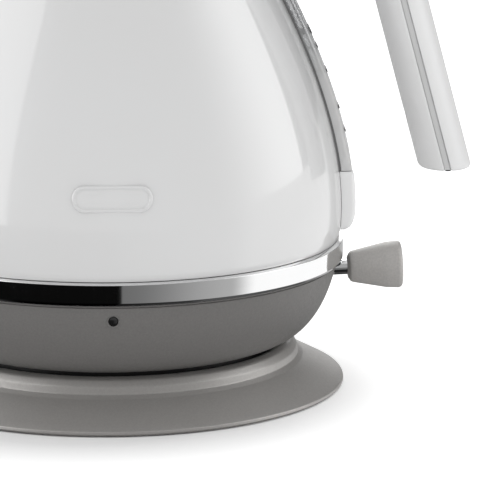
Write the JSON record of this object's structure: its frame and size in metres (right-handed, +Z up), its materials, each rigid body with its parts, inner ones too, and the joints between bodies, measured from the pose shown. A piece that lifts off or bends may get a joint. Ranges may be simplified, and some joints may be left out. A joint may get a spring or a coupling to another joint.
{
  "type": "gooseneck kettle",
  "caption": "Cordless electric kettle with a white waisted body, gooseneck spout, open grip, water window, switch lever and round grey power base.",
  "frame": {"origin": "on the kettle's own vertical axis, in the plane of the foot ring's underside", "axes": "+Z up, +X towards the handle and the switch lever, -X along the spout, -Y towards the badge"},
  "size_m": [0.2829, 0.1699, 0.2427],
  "materials": {
    "grey_moulded": "fine matt moulded texture",
    "black_plastic": "matt",
    "black_rubber": "matt",
    "silicone": "satin",
    "contact_brass": "satin",
    "screw_steel": "zinc plated",
    "polished_chrome": "mirror polish",
    "stainless": "brushed",
    "heater_aluminium": "satin",
    "white_enamel": "high gloss",
    "white_plastic": "satin gloss",
    "light_grey": "satin",
    "clear_plastic": "clear",
    "mark_print": "printed",
    "lens_dark": "gloss",
    "lamp_amber": "gloss"
  },
  "bodies": {
    "power_base": {"base_shell": "grey_moulded", "base_plate": "black_plastic", "base_foot_ring": "black_rubber", "base_screws": "screw_steel", "connector_tower": "black_plastic", "contact_pin": "contact_brass", "contact_ring": "contact_brass", "cord_gland": "black_rubber"},
    "coupler": {"kettle_socket": "black_plastic", "socket_contacts": "contact_brass"},
    "kettle": {"bottom_cup": "grey_moulded", "chrome_band": "polished_chrome", "body_shell": "white_enamel", "chassis_ring": "black_plastic", "carrier_ring": "black_plastic", "cup_screws": "screw_steel", "heating_plate": "stainless", "plate_seal": "black_rubber", "heat_spreader": "heater_aluminium", "heating_element": "heater_aluminium", "control_unit": "black_plastic", "bimetal_disc": "contact_brass", "indicator_lens": "lens_dark", "indicator_lamp": "lamp_amber", "steam_tube": "white_plastic", "badge": "white_enamel", "water_window": "clear_plastic", "window_gasket": "black_rubber", "window_foot": "white_plastic", "level_marks": "mark_print", "spout_tube": "white_enamel", "spout_flange": "polished_chrome", "spout_tip_ring": "polished_chrome", "spout_strainer": "stainless", "top_collar": "polished_chrome", "handle_bracket": "white_plastic", "handle_spine": "light_grey", "handle_inner": "white_plastic", "handle_outer": "white_plastic", "handle_screws": "screw_steel", "lever_bracket": "black_plastic", "lever_pin": "polished_chrome", "switch_box": "black_plastic"},
    "lever": {"lever_stem": "polished_chrome", "lever_knob": "grey_moulded"},
    "plunger": {"switch_plunger": "white_plastic"},
    "lid": {"lid_cap": "white_enamel", "lid_plug": "black_plastic", "lid_seal": "silicone", "lid_stem": "polished_chrome", "lid_knob": "grey_moulded", "lid_screw": "screw_steel"}
  },
  "joints": [
    {"name": "kettle_lift", "type": "slide", "parent": "power_base", "child": "coupler", "axis": [0, 0, 1], "range_m": [0, 0.06]},
    {"name": "kettle_swivel", "type": "hinge", "parent": "coupler", "child": "kettle", "pos_m": [0, 0, 0], "axis": [0, 0, 1], "continuous": true},
    {"name": "switch_lever", "type": "hinge", "parent": "kettle", "child": "lever", "pos_m": [0.072, 0, 0.0408], "axis": [0, 1, 0], "range_deg": [0, 12]},
    {"name": "plunger_travel", "type": "slide", "parent": "kettle", "child": "plunger", "axis": [0, 0, 1], "range_m": [0, 0.0042]},
    {"name": "lid_lift", "type": "slide", "parent": "kettle", "child": "lid", "axis": [0, 0, 1], "range_m": [0, 0.04]}
  ],
  "couplings": [
    {"joint": "plunger_travel", "follows": "switch_lever", "m_per_rad": 0.02}
  ]
}
